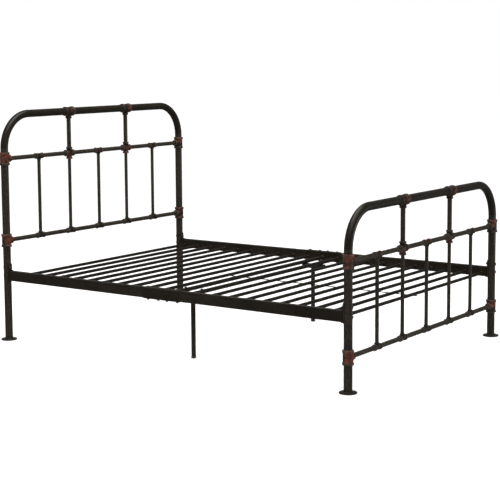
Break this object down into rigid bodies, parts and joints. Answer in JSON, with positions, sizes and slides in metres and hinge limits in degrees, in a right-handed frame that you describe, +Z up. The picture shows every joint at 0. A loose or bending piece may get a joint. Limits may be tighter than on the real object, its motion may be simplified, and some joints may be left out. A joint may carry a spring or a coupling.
{
  "type": "bed frame",
  "caption": "Pipe-style metal bed frame with arched headboard and footboard, upright spindles, cast tee fittings, side rails, round cross slats and centre legs.",
  "frame": {"origin": "on the floor, at the middle of the frame's footprint", "axes": "+Z up, +Y from the footboard to the headboard, +X across the bed"},
  "size_m": [1.478, 2.053, 1.151],
  "materials": {
    "bronze_pipe": "dark bronze-black powder coat, slightly sandy, with faint warm rub-through",
    "rust_fitting": "rust-red rubbed finish over dark bronze, matt to satin",
    "black_glide": "black moulded plastic"
  },
  "bodies": {
    "root": {"centre_leg_left": "bronze_pipe", "centre_leg_right": "bronze_pipe", "centre_stretcher": "bronze_pipe", "cross_bar_1": "bronze_pipe", "cross_bar_2": "bronze_pipe", "footboard_arch": "bronze_pipe", "footboard_drop_tube_left": "bronze_pipe", "footboard_drop_tube_right": "bronze_pipe", "footboard_lower_rail": "bronze_pipe", "footboard_mid_rail": "bronze_pipe", "footboard_post_tee_lower_left": "rust_fitting", "footboard_post_tee_lower_right": "rust_fitting", "footboard_post_tee_upper_left": "rust_fitting", "footboard_post_tee_upper_right": "rust_fitting", "footboard_spindle_1": "bronze_pipe", "footboard_spindle_2": "bronze_pipe", "footboard_spindle_3": "bronze_pipe", "footboard_spindle_4": "bronze_pipe", "footboard_spindle_5": "bronze_pipe", "headboard_arch": "bronze_pipe", "headboard_drop_tube_left": "bronze_pipe", "headboard_drop_tube_right": "bronze_pipe", "headboard_lower_rail": "bronze_pipe", "headboard_mid_rail": "bronze_pipe", "headboard_post_tee_lower_left": "rust_fitting", "headboard_post_tee_lower_right": "rust_fitting", "headboard_post_tee_upper_left": "rust_fitting", "headboard_post_tee_upper_right": "rust_fitting", "headboard_spindle_1": "bronze_pipe", "headboard_spindle_2": "bronze_pipe", "headboard_spindle_3": "bronze_pipe", "headboard_spindle_4": "bronze_pipe", "headboard_spindle_5": "bronze_pipe", "leg_glide_left": "black_glide", "leg_glide_right": "black_glide", "rail_sleeve_left": "bronze_pipe", "rail_sleeve_right": "bronze_pipe", "side_rail_foot_left": "bronze_pipe", "side_rail_foot_right": "bronze_pipe", "side_rail_head_left": "bronze_pipe", "side_rail_head_right": "bronze_pipe", "slat_01": "bronze_pipe", "slat_02": "bronze_pipe", "slat_03": "bronze_pipe", "slat_04": "bronze_pipe", "slat_05": "bronze_pipe", "slat_06": "bronze_pipe", "slat_07": "bronze_pipe", "slat_08": "bronze_pipe", "slat_09": "bronze_pipe", "slat_10": "bronze_pipe", "slat_11": "bronze_pipe", "slat_12": "bronze_pipe", "slat_13": "bronze_pipe", "slat_14": "bronze_pipe", "slat_15": "bronze_pipe", "slat_16": "bronze_pipe", "slat_17": "bronze_pipe", "slat_18": "bronze_pipe", "slat_19": "bronze_pipe"}
  },
  "joints": []
}
